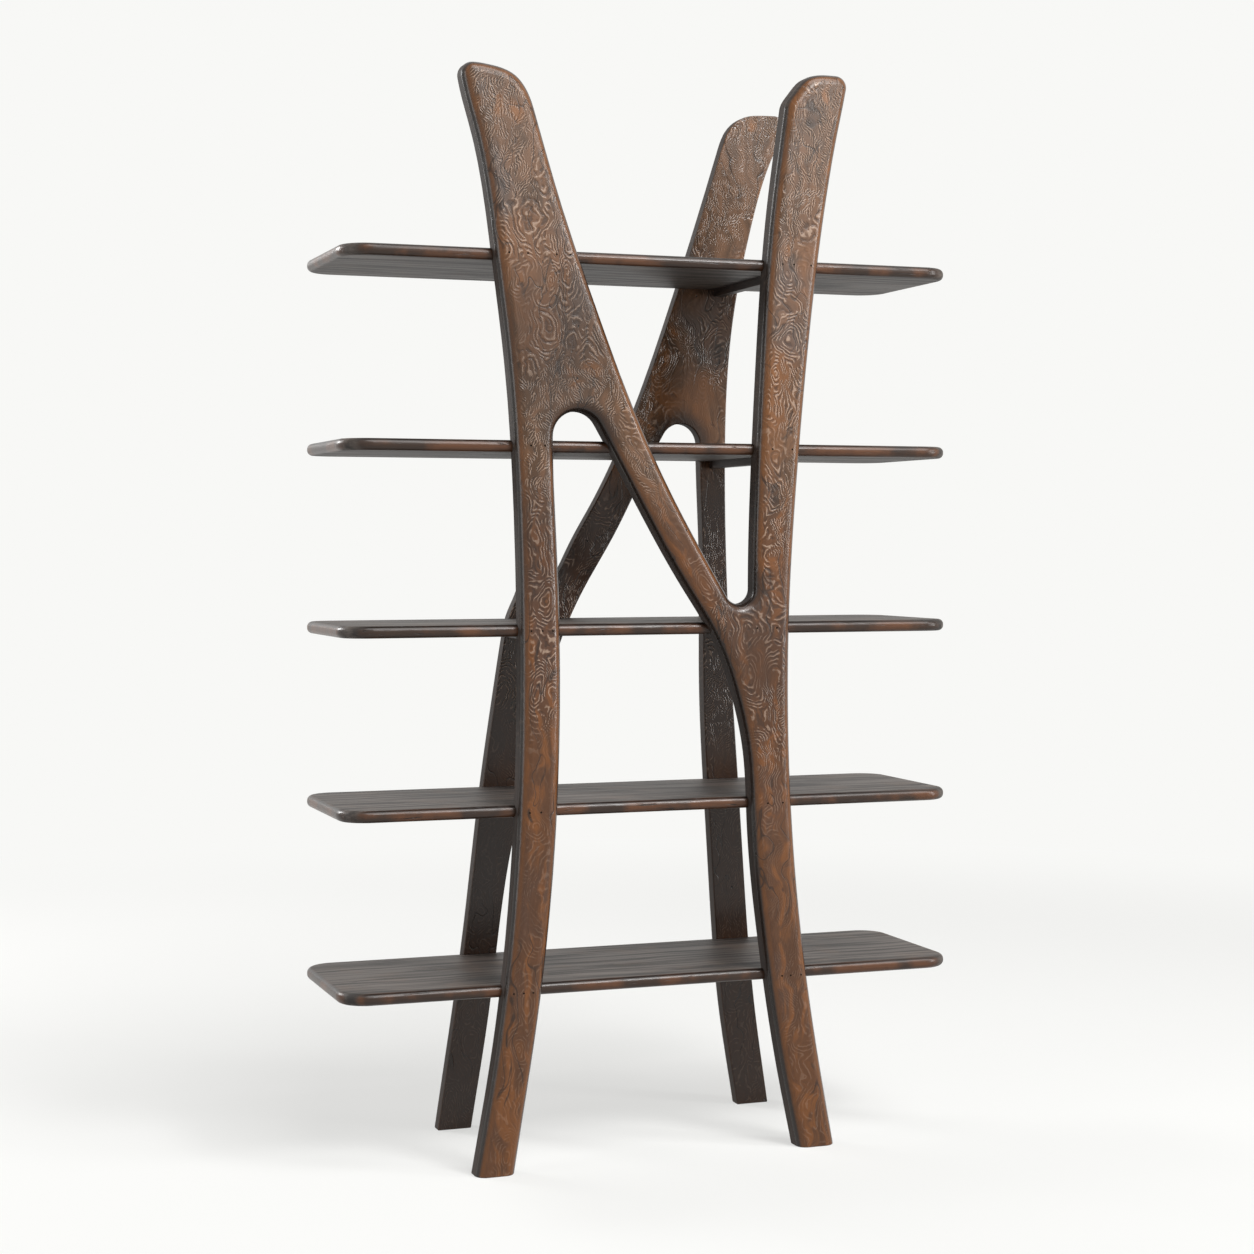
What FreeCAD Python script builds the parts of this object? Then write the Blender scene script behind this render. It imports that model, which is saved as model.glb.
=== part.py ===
"""Free-standing open bookshelf of dark solid wood.

Two sculpted frames stand back to back. Each is glued up from a bladed leg, a diagonal, a prong
and a webbed leg, with loose tenons in the joints, and is rounded over as one. Five shelves with
bullnosed edges are housed in the frames' inner faces and pinned through them. Rails under the
shelves tie the two frames together. The origin is on the floor, under the middle of the shelf:
X runs along the shelves, the front frame is on the -Y side, and Z is up. Lengths are millimetres.
"""
import FreeCAD, Part
import Sketcher
import math
import os

from FreeCAD import Placement, Rotation, Vector

os.makedirs("parts", exist_ok=True)
doc = FreeCAD.newDocument("Bookshelf")

# Driving dimensions
SIZES = {
    "shelf_length": 1200,
    "shelf_depth": 345,
    "shelf_thickness": 22,
    "shelf_corner_radius": 55,
    "shelf_edge_round": 10,
    "lowest_shelf_height": 314,
    "second_shelf_rise": 323,
    "third_shelf_rise": 326,
    "fourth_shelf_rise": 333,
    "top_shelf_rise": 345,
    "frame_half_width": 388,
    "blade_height": 1992,
    "rear_blade_height": 1998,
    "front_prong_height": 2014,
    "rear_prong_height": 1978,
    "frame_thickness": 42,
    "housing_depth": 14,
    "fit_gap": 0.2,
    "outer_round": 20,
    "inner_round": 2.5,
    "foot_round": 2.2,
    "tip_radius": 22.5,
    "front_arch_radius": 46,
    "rear_arch_radius": 41.2,
    "front_notch_radius": 28,
    "rear_notch_radius": 10,
    "tenon_thickness": 10,
    "tenon_width": 32,
    "tenon_length": 60,
    "scarf_tenon_width": 64,
    "scarf_tenon_length": 40,
    "rear_scarf_tenon_width": 30,
    "rear_scarf_tenon_length": 24,
    "rail_width": 20,
    "rail_height": 14,
    "rail_edge_round": 1.5,
    "dowel_diameter": 6,
    "dowel_length": 36,
    "pin_diameter": 3.6,
    "pin_length": 58,
    "pin_sink": 1.6,
    "screw_diameter": 4,
    "screw_head_diameter": 7.6,
    "screw_head_height": 2.2,
    "screw_length": 27,
    "cut_overrun": 20,
}
sheet = doc.addObject("Spreadsheet::Sheet", "Sizes")
for row, (alias, value) in enumerate(SIZES.items(), start=1):
    sheet.set("A%d" % row, alias)
    sheet.set("B%d" % row, str(value))
    sheet.setAlias("B%d" % row, alias)
doc.recompute()


def size(alias):
    return float(getattr(sheet, alias))


HALF_WIDTH = size("frame_half_width")
BLADE_HEIGHT = size("blade_height")
THICKNESS = size("frame_thickness")
INNER_FACE = size("shelf_depth") / 2 - size("housing_depth")
OUTER_FACE = INNER_FACE + THICKNESS
OVERRUN = size("cut_overrun")
FIT_GAP = size("fit_gap")

# The heights of the shelves' undersides, from the lowest up
SHELF_NAMES = ["lowest", "second", "third", "fourth", "top"]
SHELF_HEIGHTS = [size("lowest_shelf_height")]
for rise in ("second_shelf_rise", "third_shelf_rise", "fourth_shelf_rise", "top_shelf_rise"):
    SHELF_HEIGHTS.append(SHELF_HEIGHTS[-1] + size(rise))

# How far the diagonal falls, and the scarf rises, across one half width, in shares of the height
DIAGONAL_RISE_SHARE = -0.33066
SCARF_RISE_SHARE = 0.31786

# The outline of each frame, seen from its own outer side. Points are shares of the frame's half
# width and of the blade's height, or of the prong's rise over the notch for the prong. Each run
# goes clockwise round the outline, from the foot of the bladed leg.
FRONT = {
    "leg_outer_shares": [
        (-0.935, 0.000), (-0.850, 0.092), (-0.750, 0.256), (-0.716, 0.440),
        (-0.732, 0.607), (-0.772, 0.724), (-0.842, 0.833), (-0.938, 0.940),
    ],
    "blade_tip_share": -0.944,
    "blade_top_shares": [(-0.862, 0.9986), (-0.746, 0.9912), (-0.672, 0.9728)],
    "blade_inner_shares": [
        (-0.630, 0.9482), (-0.539, 0.8903), (-0.340, 0.7813), (-0.158, 0.692), (0.039, 0.6120),
    ],
    "notch_centre_share": (0.3797, 0.5254),
    "prong_inner_shares": [(0.466, 0.224), (0.496, 0.461), (0.549, 0.731), (0.617, 0.930)],
    "prong_top_shares": [(0.663, 0.9628), (0.723, 0.989), (0.794, 0.9989)],
    "prong_tip_share": 0.887,
    "prong_outer_shares": [(0.900, 0.8895), (0.845, 0.7727), (0.761, 0.5327), (0.692, 0.256)],
    "web_leg_outer_shares": [
        (0.643, 0.5050), (0.641, 0.3730), (0.693, 0.2231), (0.807, 0.0712), (0.875, 0.000),
    ],
    "web_shares": [
        (0.681, 0.0000), (0.606, 0.070), (0.506, 0.191), (0.446, 0.305), (0.423, 0.3761),
        (0.370, 0.423), (0.250, 0.484), (0.120, 0.524),
    ],
    "arch_centre_share": (-0.438, 0.6652),
    "leg_inner_shares": [
        (-0.537, 0.5620), (-0.521, 0.4400), (-0.547, 0.2899), (-0.625, 0.1459), (-0.746, 0.0000),
    ],
    "blade_height": "blade_height",
    "prong_height": "front_prong_height",
    "arch_radius": "front_arch_radius",
    "notch_radius": "front_notch_radius",
    "scarf_tenon_width": "scarf_tenon_width",
    "scarf_tenon_length": "scarf_tenon_length",
}
REAR = {
    "leg_outer_shares": [
        (-0.912, 0.000), (-0.843, 0.093), (-0.760, 0.290), (-0.693, 0.490),
        (-0.673, 0.640), (-0.726, 0.8040), (-0.815, 0.8851), (-0.953, 0.966),
    ],
    "blade_tip_share": -0.950,
    "blade_top_shares": [(-0.874, 1.0026), (-0.782, 0.9997), (-0.708, 0.9893)],
    "blade_inner_shares": [
        (-0.650, 0.9643), (-0.586, 0.9249), (-0.380, 0.8036), (-0.155, 0.687), (0.055, 0.6038),
        (0.155, 0.5702),
    ],
    "notch_centre_share": (0.2722, 0.5370),
    "prong_inner_shares": [(0.284, 0.270), (0.330, 0.562), (0.405, 0.796), (0.463, 0.923)],
    "prong_top_shares": [(0.486, 0.956), (0.525, 0.983), (0.562, 0.994)],
    "prong_tip_share": 0.606,
    "prong_outer_shares": [(0.637, 0.9318), (0.591, 0.8286), (0.497, 0.571), (0.445, 0.301)],
    "web_leg_outer_shares": [
        (0.420, 0.5600), (0.429, 0.5320), (0.4593, 0.5143), (0.4948, 0.4987), (0.5232, 0.4752),
        (0.5616, 0.4283), (0.633, 0.3347), (0.723, 0.1891), (0.868, 0.0000),
    ],
    "web_shares": [
        (0.696, 0.000), (0.602, 0.112), (0.487, 0.268), (0.387, 0.350), (0.226, 0.4706),
        (0.104, 0.5219), (-0.055, 0.5740),
    ],
    "arch_centre_share": (-0.4253, 0.6672),
    "leg_inner_shares": [
        (-0.547, 0.570), (-0.552, 0.4200), (-0.596, 0.2559), (-0.664, 0.0929), (-0.741, 0.000),
    ],
    "blade_height": "rear_blade_height",
    "prong_height": "rear_prong_height",
    "arch_radius": "rear_arch_radius",
    "notch_radius": "rear_notch_radius",
    "scarf_tenon_width": "rear_scarf_tenon_width",
    "scarf_tenon_length": "rear_scarf_tenon_length",
}

# Where the pins stand across each member, in shares of its width at the shelf
LEG_PIN_SHARES = {
    "lowest": [0.25, 0.50, 0.74],
    "second": [0.28, 0.56],
    "third": [0.24, 0.52, 0.78],
    "fourth": [0.34, 0.66],
    "top": [0.14, 0.36, 0.70, 0.86],
}
PRONG_PIN_SHARES = {
    "lowest": [0.28, 0.50, 0.76],
    "second": [0.34, 0.70],
    "third": [0.55, 0.80],
    "fourth": [0.30, 0.76],
    "top": [0.24, 0.46, 0.80],
}
RAIL_SCREW_SHARES = [0.22, 0.78]

# The most that a rounding may take of the thickness that it rounds
SHELF_ROUND_SHARE = 0.48
TENON_ROUND_SHARE = 0.45
RAIL_ROUND_SHARE = 0.4
EDGE_ROUND_SHARE = 0.9

# How far the cuts that part a frame stand clear of the joints, and how far the tenons stand in
# from the arch and the notch, in shares of their radii
ZONE_MARGIN_SHARE = 0.4
SCARF_INSET_SHARE = 0.2
TENON_INSET_SHARE = 0.45

# A turn of half a circle about Z sets the rear frame behind the shelves
TURNS = {"front": Placement(), "rear": Placement(Vector(), Rotation(Vector(0, 0, 1), 180))}


def points(shares):
    """Outline points, in the plane of a frame."""
    return [Vector(x_share * HALF_WIDTH, z_share * BLADE_HEIGHT, 0) for x_share, z_share in shares]


def point(share):
    return points([share])[0]


def prong_points(pattern, shares):
    """Points of the prong: shares of the half width, and of its own rise over the notch."""
    notch_height = point(pattern["notch_centre_share"]).y
    rise = size(pattern["prong_height"]) - notch_height
    return [Vector(x_share * HALF_WIDTH, notch_height + z_share * rise, 0) for x_share, z_share in shares]


def right_edge(pattern):
    """The outer edge of the prong and of the webbed leg below it, from the top down."""
    prong = prong_points(pattern, pattern["prong_outer_shares"])
    return prong + points(pattern["web_leg_outer_shares"])


def slope(rise_share):
    """The slope, in degrees, of a line that rises a share of the height across one half width."""
    return math.degrees(math.atan2(rise_share * BLADE_HEIGHT, HALF_WIDTH))


DIAGONAL_SLOPE = slope(DIAGONAL_RISE_SHARE)
SCARF_SLOPE = slope(SCARF_RISE_SHARE)


def direction(degrees):
    angle = math.radians(degrees)
    return Vector(math.cos(angle), math.sin(angle), 0)


def curve(through, start_direction, end_direction):
    """A smooth curve through points, that leaves and arrives in the given directions."""
    spline = Part.BSplineCurve()
    spline.interpolate(Points=through, InitialTangent=start_direction, FinalTangent=end_direction,
                       Scale=False)
    return spline


def arc(centre, radius, from_degrees, to_degrees):
    """An arc that runs anticlockwise between two angles."""
    circle = Part.Circle(centre, Vector(0, 0, 1), radius)
    return Part.ArcOfCircle(circle, math.radians(from_degrees), math.radians(to_degrees))


def between(first, second):
    return (second - first).normalize()


def outline(pattern):
    """The closed outline of a frame: curves joined by the tips, the notch and the arch."""
    tip = size("tip_radius")
    arch_centre = point(pattern["arch_centre_share"])
    arch_radius = size(pattern["arch_radius"])
    notch_centre = point(pattern["notch_centre_share"])
    notch_radius = size(pattern["notch_radius"])
    leg_outer = points(pattern["leg_outer_shares"])
    blade_top = points(pattern["blade_top_shares"])
    blade_inner = points(pattern["blade_inner_shares"])
    prong_inner = prong_points(pattern, pattern["prong_inner_shares"])
    prong_top = prong_points(pattern, pattern["prong_top_shares"])
    prong_outer = right_edge(pattern)
    web = points(pattern["web_shares"])
    leg_inner = points(pattern["leg_inner_shares"])

    blade_tip = Vector(pattern["blade_tip_share"] * HALF_WIDTH, size(pattern["blade_height"]) - tip, 0)
    prong_tip = Vector(pattern["prong_tip_share"] * HALF_WIDTH, size(pattern["prong_height"]) - tip, 0)
    right, left, up, down = direction(0), direction(180), direction(90), direction(-90)
    blade_lean = between(leg_outer[-2], leg_outer[-1])
    prong_lean = between(prong_outer[1], prong_outer[0])
    blade_side = blade_tip + Vector(-blade_lean.y, blade_lean.x, 0) * tip
    prong_side = prong_tip + Vector(prong_lean.y, -prong_lean.x, 0) * tip
    falling = direction(DIAGONAL_SLOPE)
    across = direction(DIAGONAL_SLOPE + 90)
    notch_start = notch_centre - across * notch_radius
    notch_end = notch_centre + right * notch_radius
    arch_start = arch_centre + across * arch_radius
    arch_end = arch_centre + left * arch_radius
    blade_fall = between(blade_inner[0], blade_inner[1])
    prong_rise = between(prong_inner[-2], prong_inner[-1])

    def degrees(vector):
        return math.degrees(math.atan2(vector.y, vector.x)) % 360

    return [
        curve(leg_outer + [blade_side], between(leg_outer[0], leg_outer[1]), blade_lean),
        arc(blade_tip, tip, 90, degrees(blade_side - blade_tip)),
        curve([blade_tip + up * tip] + blade_top + [blade_inner[0]], right, blade_fall),
        curve(blade_inner + [notch_start], blade_fall, falling),
        arc(notch_centre, notch_radius, 180 + DIAGONAL_SLOPE + 90, 360),
        curve([notch_end] + prong_inner, up, prong_rise),
        curve([prong_inner[-1]] + prong_top + [prong_tip + up * tip], prong_rise, right),
        arc(prong_tip, tip, degrees(prong_side - prong_tip) - 360, 90),
        curve([prong_side] + prong_outer, prong_lean * -1, between(prong_outer[-2], prong_outer[-1])),
        Part.LineSegment(prong_outer[-1], web[0]),
        curve(web + [arch_start], between(web[0], web[1]), falling * -1),
        arc(arch_centre, arch_radius, DIAGONAL_SLOPE + 90, 180),
        curve([arch_end] + leg_inner, down, between(leg_inner[-2], leg_inner[-1])),
        Part.LineSegment(leg_inner[-1], leg_outer[0]),
    ]


def across_at(places, height):
    """How far out an edge of the outline lies at a height, read between its points."""
    edge = sorted((place.y, place.x) for place in places)
    for (low, low_x), (high, high_x) in zip(edge, edge[1:]):
        if low <= height <= high:
            return low_x + (high_x - low_x) * (height - low) / (high - low)
    return edge[0][1] if height < edge[0][0] else edge[-1][1]


def leg_span(pattern, height):
    """The left and right edges of the bladed leg at a height."""
    arch_height = point(pattern["arch_centre_share"]).y
    inner = "leg_inner_shares" if height < arch_height else "blade_inner_shares"
    outer_x = across_at(points(pattern["leg_outer_shares"]), height)
    return outer_x, across_at(points(pattern[inner]), height)


def prong_span(pattern, height):
    """The left and right edges of the webbed leg, or of the prong above it, at a height."""
    if height < point(pattern["notch_centre_share"]).y:
        inner = points(pattern["web_shares"])
    else:
        inner = prong_points(pattern, pattern["prong_inner_shares"])
    return across_at(inner, height), across_at(right_edge(pattern), height)


def origin_plane(body, role):
    return [feature for feature in body.Origin.OriginFeatures if feature.Role == role][0]


def sketch_on(body, role, name):
    sketch = body.newObject("Sketcher::SketchObject", name)
    sketch.AttachmentSupport = [(origin_plane(body, role), "")]
    sketch.MapMode = "FlatFace"
    return sketch


def edges_where(shape, test):
    """The names of the edges whose points all pass a test."""
    names = []
    for number, edge in enumerate(shape.Edges, start=1):
        samples = edge.discretize(5)
        if all(test(sample) for sample in samples):
            names.append("Edge%d" % number)
    return names


def limited(alias, wall_alias, share):
    """The rule for a rounding that takes no more than a share of the wall that it rounds."""
    return "min(Sizes.%s; Sizes.%s * %s)" % (alias, wall_alias, share)


def round_edges(body, feature, names, radius, label):
    fillet = body.newObject("PartDesign::Fillet", label)
    fillet.Base = (feature, names)
    fillet.setExpression("Radius", radius)
    doc.recompute()
    return fillet


def frame_blank(side, pattern):
    """A whole frame: its outline padded, rounded over, and housed for the shelves."""
    body = doc.addObject("PartDesign::Body", side + "_frame_blank")
    sketch = sketch_on(body, "XZ_Plane", side + "_outline")
    sketch.setExpression(".AttachmentOffset.Base.z", "Sizes.shelf_depth / 2 - Sizes.housing_depth")
    for piece in outline(pattern):
        sketch.addGeometry(piece, False)
    pad = body.newObject("PartDesign::Pad", side + "_pad")
    pad.Profile = sketch
    pad.setExpression("Length", "Sizes.frame_thickness")
    doc.recompute()

    near = FIT_GAP / 2
    foot_line = size("foot_round") / 2
    outer_loop = edges_where(pad.Shape, lambda at: abs(at.y + OUTER_FACE) < near)
    soles = edges_where(pad.Shape, lambda at: abs(at.z) < near)
    outer_loop = [name for name in outer_loop if name not in soles]
    rounded = round_edges(body, pad, outer_loop, limited("outer_round", "tip_radius", EDGE_ROUND_SHARE),
                          side + "_round_over")
    inner_loop = edges_where(rounded.Shape, lambda at: abs(at.y + INNER_FACE) < near)
    soles = edges_where(rounded.Shape, lambda at: abs(at.z) < near)
    inner_loop = [name for name in inner_loop if name not in soles]
    eased = round_edges(body, rounded, inner_loop, "Sizes.inner_round", side + "_eased_edge")
    soles = edges_where(eased.Shape, lambda at: abs(at.z) < foot_line)
    footed = round_edges(body, eased, soles, limited("foot_round", "inner_round", EDGE_ROUND_SHARE),
                         side + "_foot_edge")

    housings = sketch_on(body, "YZ_Plane", side + "_housings")
    edge_round = min(size("shelf_edge_round"), size("shelf_thickness") * SHELF_ROUND_SHARE) + FIT_GAP
    deep = -(size("shelf_depth") / 2 + FIT_GAP)
    turn = deep + edge_round
    mouth = -INNER_FACE + OVERRUN
    for underside in SHELF_HEIGHTS:
        low = underside - FIT_GAP
        high = underside + size("shelf_thickness") + FIT_GAP
        for piece in (
            Part.LineSegment(Vector(mouth, low, 0), Vector(turn, low, 0)),
            arc(Vector(turn, low + edge_round, 0), edge_round, 180, 270),
            Part.LineSegment(Vector(deep, low + edge_round, 0), Vector(deep, high - edge_round, 0)),
            arc(Vector(turn, high - edge_round, 0), edge_round, 90, 180),
            Part.LineSegment(Vector(turn, high, 0), Vector(mouth, high, 0)),
            Part.LineSegment(Vector(mouth, high, 0), Vector(mouth, low, 0)),
        ):
            housings.addGeometry(piece, False)
    pocket = body.newObject("PartDesign::Pocket", side + "_housing_cut")
    pocket.Profile = housings
    pocket.Type = "ThroughAll"
    pocket.Midplane = True
    doc.recompute()
    if pocket.Shape.Volume >= footed.Shape.Volume:
        raise RuntimeError("the housings cut nothing")
    body.Placement = TURNS[side]
    return body


def zone(side, name, corner, degrees, length, height):
    """A block across a whole frame, from a corner, with its length along the given slope."""
    block = doc.addObject("Part::Box", side + "_" + name)
    block.Length = length
    block.Height = height
    block.setExpression("Width", "Sizes.frame_thickness + 2 * Sizes.cut_overrun")
    at = Vector(corner.x, -OUTER_FACE - OVERRUN, corner.y)
    block.Placement = TURNS[side].multiply(Placement(at, Rotation(Vector(0, 1, 0), -degrees)))
    return block


def common(name, base, tool):
    result = doc.addObject("Part::Common", name)
    result.Base = base
    result.Tool = tool
    return result


def cut(name, base, tool):
    result = doc.addObject("Part::Cut", name)
    result.Base = base
    result.Tool = tool
    return result


def group(name, pieces):
    result = doc.addObject("Part::Compound", name)
    result.Links = pieces
    return result


def tenon(side, name, centre, degrees, length_alias, width_alias):
    """A loose tenon with rounded edges, its length along the given slope."""
    length, width, thick = size(length_alias), size(width_alias), size("tenon_thickness")
    block = doc.addObject("Part::Box", side + "_" + name + "_blank")
    block.setExpression("Length", "Sizes." + length_alias)
    block.setExpression("Width", "Sizes.tenon_thickness")
    block.setExpression("Height", "Sizes." + width_alias)
    along, over = direction(degrees), direction(degrees + 90)
    corner = centre - along * (length / 2) - over * (width / 2)
    at = Vector(corner.x, -(INNER_FACE + OUTER_FACE) / 2 - thick / 2, corner.y)
    block.Placement = TURNS[side].multiply(Placement(at, Rotation(Vector(0, 1, 0), -degrees)))
    doc.recompute()
    long_edges = []
    for number, edge in enumerate(block.Shape.Edges, start=1):
        if abs(edge.Length - length) < FIT_GAP:
            long_edges.append(number)
    piece = doc.addObject("Part::Fillet", side + "_" + name)
    piece.Base = block
    round_radius = thick * TENON_ROUND_SHARE
    piece.Edges = [(number, round_radius, round_radius) for number in long_edges]
    return piece


def rod(name, diameter_alias, length, at, axis):
    """A round bar from a point, along an axis."""
    bar = doc.addObject("Part::Cylinder", name)
    bar.setExpression("Radius", "Sizes." + diameter_alias + " / 2")
    bar.Height = length
    bar.Placement = Placement(at, Rotation(Vector(0, 0, 1), axis))
    return bar


# Frames: each blank is parted at its glue joints into four members
members = {}
tenons = {}
for side, pattern in (("front", FRONT), ("rear", REAR)):
    blank = frame_blank(side, pattern)
    fall, over = direction(DIAGONAL_SLOPE), direction(DIAGONAL_SLOPE + 90)
    arch_radius = size(pattern["arch_radius"])
    notch_radius = size(pattern["notch_radius"])
    arch_foot = point(pattern["arch_centre_share"]) + over * arch_radius
    notch_centre = point(pattern["notch_centre_share"])
    notch_foot = notch_centre - over * notch_radius
    notch_side = notch_centre + direction(0) * notch_radius

    margin = arch_radius * ZONE_MARGIN_SHARE
    reach = HALF_WIDTH + OVERRUN
    top_reach = max(size(pattern["prong_height"]), size(pattern["blade_height"])) + 2 * OVERRUN
    blade_edge = across_at(points(pattern["blade_inner_shares"]), arch_foot.y + arch_radius)
    blade_side = blade_edge - arch_foot.x
    diagonal_width = max((notch_foot - arch_foot).dot(over), blade_side * over.x + arch_radius * over.y)
    diagonal_zone = zone(side, "diagonal_zone", arch_foot - over * margin, DIAGONAL_SLOPE,
                         (notch_foot - arch_foot).dot(fall), diagonal_width + 2 * margin)
    left_zone = zone(side, "left_zone", Vector(-reach, -OVERRUN, 0), 0, reach, top_reach)
    right_zone = zone(side, "right_zone", Vector(0, -OVERRUN, 0), 0, reach, top_reach)
    prong_run = size(pattern["prong_height"]) - notch_side.y + HALF_WIDTH
    prong_corner = notch_side - direction(SCARF_SLOPE) * (notch_radius * SCARF_INSET_SHARE)
    prong_zone = zone(side, "prong_zone", prong_corner, SCARF_SLOPE, prong_run, prong_run)
    notch_zone = zone(side, "notch_zone", Vector(notch_centre.x, -OVERRUN, 0), 0, reach, top_reach)
    diagonal_block = cut(side + "_diagonal_block", diagonal_zone, notch_zone)
    prong_block = common(side + "_prong_block", prong_zone, notch_zone)

    left_half = common(side + "_left_half", blank, left_zone)
    right_half = common(side + "_right_half", blank, right_zone)
    right_part = cut(side + "_right_part", right_half, diagonal_block)
    members[side] = {
        "bladed_leg": cut(side + "_leg_blank", left_half, diagonal_block),
        "diagonal": common(side + "_diagonal_blank", blank, diagonal_block),
        "prong": common(side + "_prong_blank", right_part, prong_block),
        "webbed_leg": cut(side + "_web_blank", right_part, prong_block),
    }

    # Loose tenons stand across the three joints
    blade_joint = arch_foot + over * (size("tenon_width") / 2 + arch_radius * TENON_INSET_SHARE)
    web_joint = notch_foot - over * (size("tenon_width") / 2 + notch_radius * TENON_INSET_SHARE)
    root_width = across_at(right_edge(pattern), notch_side.y) - notch_side.x
    scarf_middle = notch_side + direction(SCARF_SLOPE) * (root_width / direction(SCARF_SLOPE).x / 2)
    tenons[side] = {
        "blade_tenon": tenon(side, "blade_tenon", blade_joint, DIAGONAL_SLOPE, "tenon_length",
                             "tenon_width"),
        "web_tenon": tenon(side, "web_tenon", web_joint, DIAGONAL_SLOPE, "tenon_length",
                           "tenon_width"),
        "scarf_tenon": tenon(side, "scarf_tenon", scarf_middle, SCARF_SLOPE + 90,
                             pattern["scarf_tenon_length"], pattern["scarf_tenon_width"]),
    }


# Shelves: a slab with round corners and bullnosed edges
HALF_LENGTH = size("shelf_length") / 2
HALF_DEPTH = size("shelf_depth") / 2
SHELF_THICKNESS = size("shelf_thickness")


def rectangle(sketch, half_x, half_y, length_size, depth_size):
    """A rectangle about the sketch's origin, its sides bound to two sizes."""
    corners = [Vector(-half_x, -half_y, 0), Vector(half_x, -half_y, 0), Vector(half_x, half_y, 0),
               Vector(-half_x, half_y, 0)]
    for index in range(4):
        sketch.addGeometry(Part.LineSegment(corners[index], corners[(index + 1) % 4]), False)
    for index in range(4):
        sketch.addConstraint(Sketcher.Constraint("Coincident", index, 2, (index + 1) % 4, 1))
    for index, kind in enumerate(("Horizontal", "Vertical", "Horizontal", "Vertical")):
        sketch.addConstraint(Sketcher.Constraint(kind, index))
    sketch.addConstraint(Sketcher.Constraint("Symmetric", 0, 1, 1, 2, -1, 1))
    length = sketch.addConstraint(Sketcher.Constraint("DistanceX", 0, 1, 0, 2, 2 * half_x))
    depth = sketch.addConstraint(Sketcher.Constraint("DistanceY", 1, 1, 1, 2, 2 * half_y))
    sketch.setExpression("Constraints[%d]" % length, "Sizes." + length_size)
    sketch.setExpression("Constraints[%d]" % depth, "Sizes." + depth_size)


def shelf_slab(name, underside):
    body = doc.addObject("PartDesign::Body", name + "_shelf_slab")
    plan = sketch_on(body, "XY_Plane", name + "_plan")
    rectangle(plan, HALF_LENGTH, HALF_DEPTH, "shelf_length", "shelf_depth")
    slab = body.newObject("PartDesign::Pad", name + "_slab")
    slab.Profile = plan
    slab.setExpression("Length", "Sizes.shelf_thickness")
    doc.recompute()

    def at_corner(at):
        return HALF_LENGTH - abs(at.x) + HALF_DEPTH - abs(at.y) < FIT_GAP

    def on_rim(at):
        return abs(at.z - SHELF_THICKNESS / 2) > SHELF_THICKNESS / 2 - FIT_GAP

    cornered = round_edges(body, slab, edges_where(slab.Shape, at_corner), "Sizes.shelf_corner_radius",
                           name + "_corner")
    round_edges(body, cornered, edges_where(cornered.Shape, on_rim),
                limited("shelf_edge_round", "shelf_thickness", SHELF_ROUND_SHARE), name + "_bullnose")
    body.Placement = Placement(Vector(0, 0, underside), Rotation())
    return body


# Rails: flat bars under each shelf, each from a front member to the rear member behind it
def rail_ends(front_span, rear_span):
    """Where a rail meets the two frames: straight across where the members overlap, else slanted."""
    inset = size("rail_width") / 2 + size("inner_round")
    low = max(front_span[0], rear_span[0]) + inset
    high = min(front_span[1], rear_span[1]) - inset
    if low <= high:
        return (low + high) / 2, (low + high) / 2
    if front_span[0] < rear_span[0]:
        return front_span[1] - inset, rear_span[0] + inset
    return front_span[0] + inset, rear_span[1] - inset


def rail_bar(name, front_x, rear_x, underside):
    body = doc.addObject("PartDesign::Body", name + "_bar")
    plan = sketch_on(body, "XY_Plane", name + "_plan")
    half = size("rail_width") / 2
    corners = [Vector(front_x - half, -INNER_FACE, 0), Vector(front_x + half, -INNER_FACE, 0),
               Vector(rear_x + half, INNER_FACE, 0), Vector(rear_x - half, INNER_FACE, 0)]
    for index in range(4):
        plan.addGeometry(Part.LineSegment(corners[index], corners[(index + 1) % 4]), False)
    bar = body.newObject("PartDesign::Pad", name + "_pad")
    bar.Profile = plan
    bar.setExpression("Length", "Sizes.rail_height")
    doc.recompute()

    def along_bottom(at):
        return abs(at.z) < FIT_GAP

    ends = edges_where(bar.Shape, lambda at: INNER_FACE - abs(at.y) < FIT_GAP)
    lower = [name for name in edges_where(bar.Shape, along_bottom) if name not in ends]
    round_edges(body, bar, lower, limited("rail_edge_round", "rail_height", RAIL_ROUND_SHARE),
                name + "_eased")
    body.Placement = Placement(Vector(0, 0, underside - size("rail_height")), Rotation())
    return body


def countersunk_screw(name, at):
    """A screw that points up, its head flush with the rail's lower face."""
    head = doc.addObject("Part::Cone", name + "_head")
    head.setExpression("Radius1", "Sizes.screw_head_diameter / 2")
    head.setExpression("Radius2", "Sizes.screw_diameter / 2")
    head.setExpression("Height", "Sizes.screw_head_height")
    head.Placement = Placement(at, Rotation())
    shank = rod(name + "_shank", "screw_diameter", size("screw_length"), at, Vector(0, 0, 1))
    screw = doc.addObject("Part::Fuse", name)
    screw.Base = head
    screw.Tool = shank
    return screw


finished = {}


def keep(node, piece):
    piece.Label = node
    finished[node] = piece


shelves = {name: shelf_slab(name, underside) for name, underside in zip(SHELF_NAMES, SHELF_HEIGHTS)}
frame_cutters = {"front": list(tenons["front"].values()), "rear": list(tenons["rear"].values())}
shelf_cutters = {name: [] for name in SHELF_NAMES}

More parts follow.
